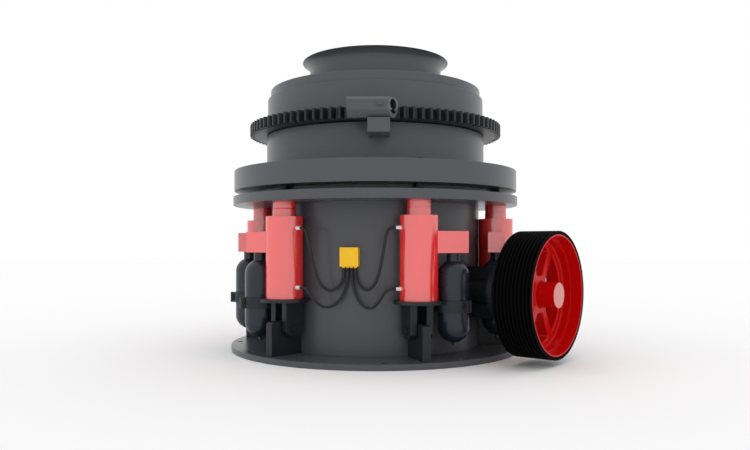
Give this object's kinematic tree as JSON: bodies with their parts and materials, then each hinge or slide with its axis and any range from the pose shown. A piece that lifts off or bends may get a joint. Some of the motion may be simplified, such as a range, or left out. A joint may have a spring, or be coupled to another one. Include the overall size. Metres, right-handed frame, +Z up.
{
  "type": "cone crusher",
  "caption": "Cone crusher with hydraulic release cylinders and gas bottles round a drum frame, toothed adjustment ring, flared feed hopper and a grooved spoked belt pulley.",
  "frame": {"origin": "centre of the circle of foundation bolts, on the underside of the base flange, on the machine's vertical axis", "axes": "+Z up along the machine's axis, +X along the countershaft towards the belt pulley"},
  "size_m": [2.7158, 2.293, 2.276],
  "materials": {
    "grey_paint": "dark grey gloss paint",
    "red_paint": "red gloss paint",
    "bottle_paint": "blue-black gloss paint",
    "dark_steel": "near-black satin paint",
    "bright_steel": "ground steel",
    "cast_steel": "rough casting",
    "manganese_steel": "rough wearing casting",
    "black_iron": "matte black",
    "white_fitting": "white caps",
    "yellow_box": "yellow satin paint",
    "hose_rubber": "matte black rubber"
  },
  "bodies": {
    "main_frame": {"frame_base": "grey_paint", "frame_shell": "grey_paint", "frame_flange": "grey_paint", "frame_hub": "grey_paint", "main_shaft": "bright_steel", "eccentric": "bright_steel", "crusher_head": "cast_steel", "mantle": "manganese_steel", "feed_plate": "manganese_steel", "release_cylinder_1": "red_paint", "release_cylinder_2": "red_paint", "release_cylinder_3": "red_paint", "release_cylinder_4": "red_paint", "release_cylinder_5": "red_paint", "release_cylinder_6": "red_paint", "accumulator_1": "bottle_paint", "accumulator_2": "bottle_paint", "accumulator_3": "bottle_paint", "accumulator_4": "bottle_paint", "accumulator_5": "bottle_paint", "accumulator_6": "bottle_paint", "cylinder_foot_1": "dark_steel", "cylinder_foot_2": "dark_steel", "cylinder_foot_3": "dark_steel", "cylinder_foot_4": "dark_steel", "cylinder_foot_5": "dark_steel", "cylinder_foot_6": "dark_steel", "clevis_lugs": "dark_steel", "clevis_pins": "dark_steel", "hose_fittings": "white_fitting", "junction_box": "yellow_box", "hose_upper_left": "hose_rubber", "hose_lower_left": "hose_rubber", "hose_lower_right": "hose_rubber", "hose_upper_right": "hose_rubber", "countershaft_housing": "dark_steel"},
    "pulley_shaft": {"pulley_rim": "black_iron", "pulley_wheel": "red_paint", "countershaft": "bright_steel"},
    "held_down_ring": {"adjustment_ring": "grey_paint", "release_rods": "dark_steel", "adjuster_bracket": "grey_paint", "adjuster_housing": "grey_paint"},
    "turning_bowl": {"bowl": "grey_paint", "bowl_liner": "manganese_steel", "gear_ring": "dark_steel", "adjustment_cap": "grey_paint", "feed_hopper": "grey_paint"}
  },
  "joints": [
    {"name": "pulley_spin", "type": "hinge", "parent": "main_frame", "child": "pulley_shaft", "pos_m": [1.4355, 0, 0.479], "axis": [1, 0, 0], "continuous": true},
    {"name": "ring_release", "type": "slide", "parent": "main_frame", "child": "held_down_ring", "axis": [0, 0, 1], "range_m": [0, 0.1]},
    {"name": "bowl_turn", "type": "hinge", "parent": "held_down_ring", "child": "turning_bowl", "pos_m": [0, 0, 1.7], "axis": [0, 0, 1], "range_deg": [-180, 180]}
  ]
}
